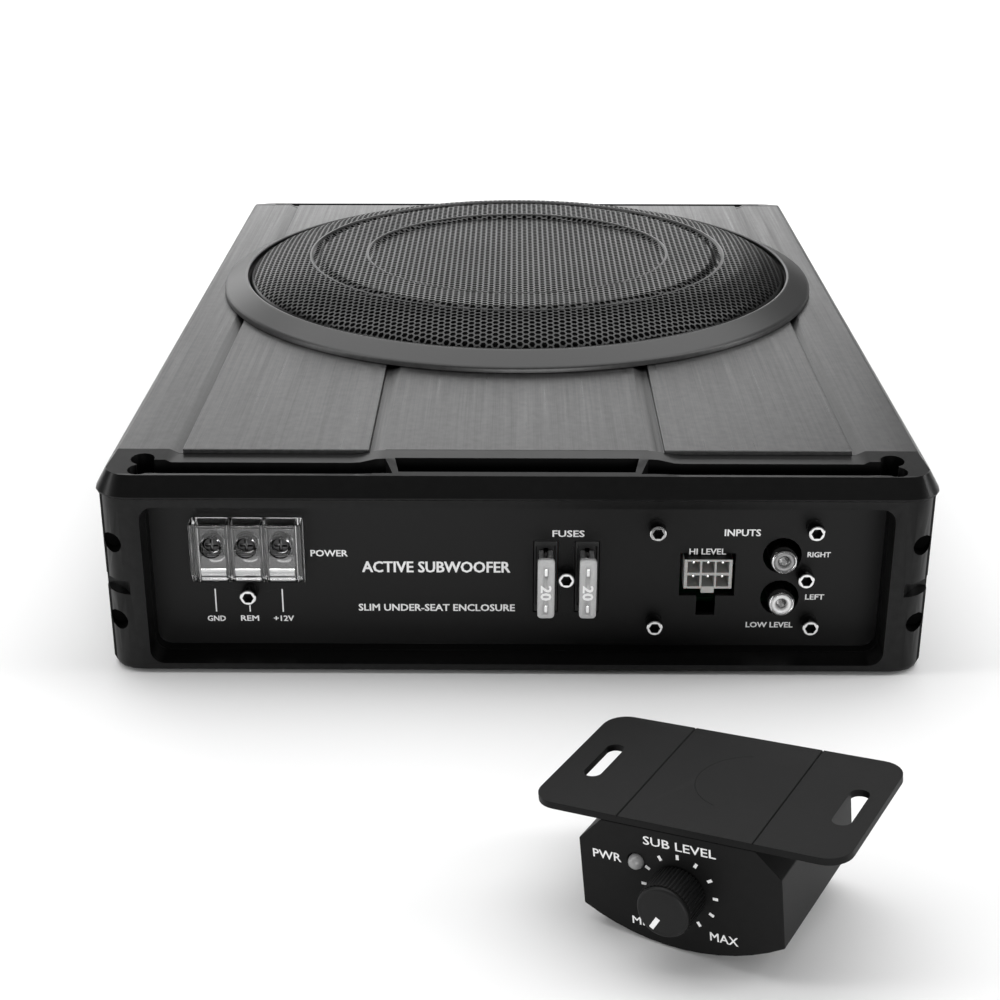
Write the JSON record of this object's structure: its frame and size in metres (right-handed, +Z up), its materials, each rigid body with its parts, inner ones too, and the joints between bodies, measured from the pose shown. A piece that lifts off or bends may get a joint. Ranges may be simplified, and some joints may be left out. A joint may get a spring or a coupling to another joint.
{
  "type": "powered car subwoofer",
  "caption": "Slim powered car subwoofer: flat extruded case, domed round grille over a shallow driver, recessed connection panels and a wired level control on a mounting plate.",
  "frame": {"origin": "middle of the case's underside, on the surface it stands on", "axes": "+Z up, out of the grille; -Y out of the panel with the terminals, fuses and inputs; +X to the right as that panel is faced"},
  "size_m": [0.25, 0.489, 0.0772],
  "materials": {
    "black_anodised": "brushed, black anodised",
    "satin_black": "satin powder coat",
    "panel_black": "fine satin, white print",
    "ring_metal": "satin grey-black",
    "grille_black": "semi-gloss over perforated steel",
    "nickel_plate": "bright nickel plate",
    "screw_steel": "zinc plated",
    "black_plastic": "moulded",
    "clear_plastic": "clear moulded",
    "nylon_white": "natural nylon",
    "fuse_body": "translucent",
    "grey_insulator": "moulded",
    "white_insulator": "moulded",
    "white_plastic": "moulded",
    "frame_steel": "pressed, painted",
    "ferrite": "sintered",
    "cone_black": "moulded, fine grain",
    "rubber_black": "matt",
    "spider_cloth": "impregnated cloth",
    "board_green": "solder mask",
    "copper_winding": "enamelled wire",
    "remote_black": "fine moulded grain",
    "knob_rubber": "ribbed, matt",
    "lamp_lens": "diffuse lens"
  },
  "bodies": {
    "enclosure": {"enclosure_extrusion": "black_anodised", "base_plate": "satin_black", "front_cap": "satin_black", "rear_cap": "satin_black", "control_panel": "panel_black", "panel_screw_1": "screw_steel", "panel_screw_2": "screw_steel", "panel_screw_3": "screw_steel", "panel_screw_4": "screw_steel", "panel_screw_5": "screw_steel", "panel_screw_6": "screw_steel", "panel_screw_7": "screw_steel", "terminal_clamp_1": "nickel_plate", "terminal_clamp_2": "nickel_plate", "terminal_clamp_3": "nickel_plate", "terminal_block": "black_plastic", "fuse_holder_1": "black_plastic", "fuse_holder_2": "black_plastic", "high_level_socket": "nylon_white", "rca_shell_right": "nickel_plate", "rca_shell_left": "nickel_plate", "rca_insulator_right": "grey_insulator", "rca_insulator_left": "white_insulator", "rear_panel": "panel_black", "remote_jack": "black_plastic", "grille_ring": "ring_metal", "grille_mesh": "grille_black", "driver_frame": "frame_steel", "driver_gasket": "rubber_black", "top_plate": "frame_steel", "magnet": "ferrite", "yoke": "frame_steel", "spider": "spider_cloth", "surround": "rubber_black", "amplifier_board": "board_green", "heat_sink": "black_anodised", "power_transformer": "copper_winding", "filter_capacitor_1": "black_plastic", "filter_capacitor_2": "black_plastic"},
    "cone_assembly": {"cone": "cone_black", "dust_cap": "cone_black", "voice_coil": "copper_winding"},
    "fuse_1": {"fuse_1": "fuse_body"},
    "fuse_2": {"fuse_2": "fuse_body"},
    "terminal_cover": {"terminal_cover": "clear_plastic"},
    "terminal_screw_1": {"terminal_screw_1": "screw_steel"},
    "terminal_screw_2": {"terminal_screw_2": "screw_steel"},
    "terminal_screw_3": {"terminal_screw_3": "screw_steel"},
    "gain_knob": {"gain_knob": "black_plastic"},
    "crossover_knob": {"crossover_knob": "black_plastic"},
    "boost_knob": {"boost_knob": "black_plastic"},
    "phase_switch": {"phase_switch": "white_plastic"},
    "remote": {"remote_housing": "remote_black", "remote_plate": "remote_black", "remote_back": "remote_black", "remote_potentiometer": "black_plastic", "remote_lamp": "lamp_lens"},
    "remote_knob": {"remote_knob": "knob_rubber", "remote_shaft": "screw_steel"}
  },
  "joints": [
    {"name": "cone_travel", "type": "slide", "parent": "enclosure", "child": "cone_assembly", "axis": [0, 0, 1], "range_m": [-0.005, 0.005], "stiffness_N_per_m": 3300, "deforming": ["surround", "spider"]},
    {"name": "fuse_1_pull", "type": "slide", "parent": "enclosure", "child": "fuse_1", "axis": [0, -1, 0], "range_m": [0, 0.018]},
    {"name": "fuse_2_pull", "type": "slide", "parent": "enclosure", "child": "fuse_2", "axis": [0, -1, 0], "range_m": [0, 0.018]},
    {"name": "terminal_cover_pull", "type": "slide", "parent": "enclosure", "child": "terminal_cover", "axis": [0, -1, 0], "range_m": [0, 0.012]},
    {"name": "terminal_screw_1_turn", "type": "hinge", "parent": "enclosure", "child": "terminal_screw_1", "pos_m": [-0.0918, -0.1578, 0.0384], "axis": [0, 1, 0], "continuous": true},
    {"name": "terminal_screw_2_turn", "type": "hinge", "parent": "enclosure", "child": "terminal_screw_2", "pos_m": [-0.0814, -0.1578, 0.0384], "axis": [0, 1, 0], "continuous": true},
    {"name": "terminal_screw_3_turn", "type": "hinge", "parent": "enclosure", "child": "terminal_screw_3", "pos_m": [-0.071, -0.1578, 0.0384], "axis": [0, 1, 0], "continuous": true},
    {"name": "gain_turn", "type": "hinge", "parent": "enclosure", "child": "gain_knob", "pos_m": [0.062, 0.162, 0.03], "axis": [0, 1, 0], "range_deg": [-140, 140]},
    {"name": "crossover_turn", "type": "hinge", "parent": "enclosure", "child": "crossover_knob", "pos_m": [0.032, 0.162, 0.03], "axis": [0, 1, 0], "range_deg": [-140, 140]},
    {"name": "boost_turn", "type": "hinge", "parent": "enclosure", "child": "boost_knob", "pos_m": [0.002, 0.162, 0.03], "axis": [0, 1, 0], "range_deg": [-140, 140]},
    {"name": "phase_slide", "type": "slide", "parent": "enclosure", "child": "phase_switch", "axis": [-1, 0, 0], "range_m": [0, 0.003]},
    {"name": "remote_place", "type": "slide", "parent": "enclosure", "child": "remote", "axis": [0, 0, 1], "range_m": [0, 0.05]},
    {"name": "remote_knob_turn", "type": "hinge", "parent": "remote", "child": "remote_knob", "pos_m": [0.03763, -0.30218, 0.01629], "axis": [0.4863, 0.8738, 0], "range_deg": [0, 300]}
  ]
}
